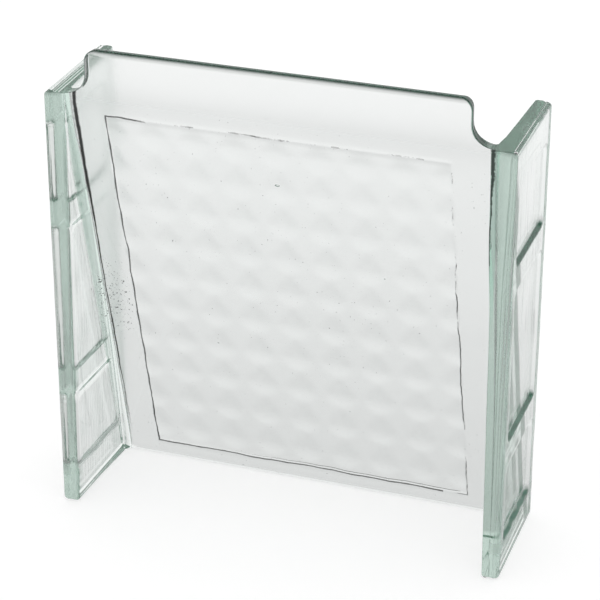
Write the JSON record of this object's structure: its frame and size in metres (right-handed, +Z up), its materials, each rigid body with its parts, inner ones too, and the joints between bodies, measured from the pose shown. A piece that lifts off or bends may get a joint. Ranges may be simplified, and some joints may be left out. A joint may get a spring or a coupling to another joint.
{
  "type": "ventilating glass block",
  "caption": "Pressed-glass ventilating block: upright side plates joined by a slanted, dimpled pane that lets air through but keeps rain out, with an upright lip along its top.",
  "frame": {"origin": "centre of the block's plan at the level it stands on", "axes": "+Z up, -Y towards the front, where the pane meets the plates at the top, and +X to the right seen from the front"},
  "size_m": [0.2, 0.058, 0.216],
  "materials": {
    "pressed_glass": "clear pressed glass with a pale green tint"
  },
  "bodies": {
    "root": {"glass_block": "pressed_glass"}
  },
  "joints": []
}
